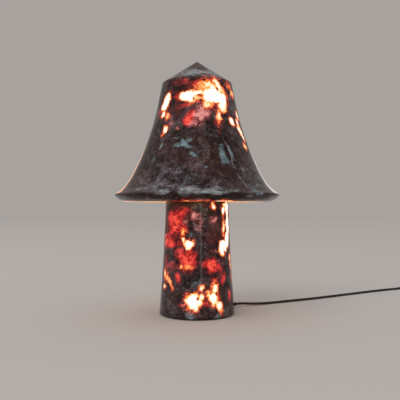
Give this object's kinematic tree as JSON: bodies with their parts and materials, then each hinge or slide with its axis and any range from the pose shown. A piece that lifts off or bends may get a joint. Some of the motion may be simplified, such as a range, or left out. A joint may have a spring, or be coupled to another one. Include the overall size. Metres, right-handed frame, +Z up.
{
  "type": "mushroom table lamp",
  "caption": "Translucent stone mushroom lamp: a lift-off bell shade with a low cone cap on a tapered hollow stem, a lamp in each, and a flat-plug cord with an in-line switch.",
  "frame": {"origin": "on the surface that the lamp stands on, on the axis of the stem and shade", "axes": "+Z up the stem towards the shade's tip; the room is at -Y; the cord leaves the foot towards +X +Y"},
  "size_m": [0.6902, 0.4058, 0.38],
  "materials": {
    "stone": "polished breccia marble, dark plum with grey-blue patches and pale veins",
    "felt": "felt",
    "zinc_steel": "zinc plated",
    "silicone": "matt translucent",
    "phenolic": "moulded",
    "porcelain": "glazed",
    "brass": "plain",
    "cap_metal": "nickel plated",
    "bulb_glass": "frosted",
    "bulb_mast": "white",
    "filament": "phosphor coated",
    "black_rubber": "matt",
    "cord_sheath": "matt",
    "clear_nylon": "natural",
    "wire_sheath": "insulation",
    "switch_plastic": "satin",
    "tie_plastic": "plain",
    "plug_plastic": "moulded",
    "pin_metal": "nickel plated"
  },
  "bodies": {
    "base": {"stem_stone": "stone", "base_felt": "felt", "base_plate": "zinc_steel", "head_plate": "zinc_steel", "centre_rod": "zinc_steel", "rod_nuts": "zinc_steel", "rod_washers": "zinc_steel", "shade_carrier": "zinc_steel", "lower_bridge": "zinc_steel", "bridge_screws": "zinc_steel", "lower_nipple": "zinc_steel", "lower_nut": "zinc_steel", "grip_screws": "zinc_steel", "block_screw": "zinc_steel", "terminal_screws": "zinc_steel", "switch_screws": "zinc_steel", "switch_rocker_pin": "zinc_steel", "carrier_pads": "silicone", "upper_holder_shell": "phenolic", "lower_holder_shell": "phenolic", "upper_holder_core": "porcelain", "lower_holder_core": "porcelain", "upper_thread_sleeve": "brass", "lower_thread_sleeve": "brass", "upper_centre_contact": "brass", "lower_centre_contact": "brass", "terminal_inserts": "brass", "switch_contacts": "brass", "cord_strain_relief": "black_rubber", "plate_bushing": "black_rubber", "inner_cord": "cord_sheath", "lamp_cord": "cord_sheath", "coil_cord": "cord_sheath", "cord_coil": "cord_sheath", "cord_grip": "clear_nylon", "terminal_block": "clear_nylon", "cord_cores": "wire_sheath", "upper_wires": "wire_sheath", "lower_wires": "wire_sheath", "switch_leads": "wire_sheath", "switch_lower_case": "switch_plastic", "switch_upper_case": "switch_plastic", "cord_tie": "tie_plastic", "plug_body": "plug_plastic", "plug_relief": "plug_plastic", "plug_pin_sleeves": "plug_plastic", "plug_pins": "pin_metal"},
    "shade": {"shade_stone": "stone"},
    "upper_bulb": {"upper_bulb_cap": "cap_metal", "upper_bulb_glass": "bulb_glass", "upper_bulb_mast": "bulb_mast", "upper_bulb_filaments": "filament"},
    "lower_bulb": {"lower_bulb_cap": "cap_metal", "lower_bulb_glass": "bulb_glass", "lower_bulb_mast": "bulb_mast", "lower_bulb_filaments": "filament"},
    "rocker": {"switch_rocker": "switch_plastic"}
  },
  "joints": [
    {"name": "shade_lift", "type": "slide", "parent": "base", "child": "shade", "axis": [0, 0, 1], "range_m": [0, 0.2]},
    {"name": "upper_bulb_turn", "type": "hinge", "parent": "base", "child": "upper_bulb", "pos_m": [0, 0, 0.28], "axis": [0, 0, 1], "range_deg": [0, 1620]},
    {"name": "lower_bulb_turn", "type": "hinge", "parent": "base", "child": "lower_bulb", "pos_m": [0, -0.0215, 0.052], "axis": [0, 0, 1], "range_deg": [0, 1620]},
    {"name": "switch_rocker_tilt", "type": "hinge", "parent": "base", "child": "rocker", "pos_m": [0.46481, 0.2659, 0.0124], "axis": [-0.3065, 0.9519, 0], "range_deg": [-14, 0]}
  ]
}
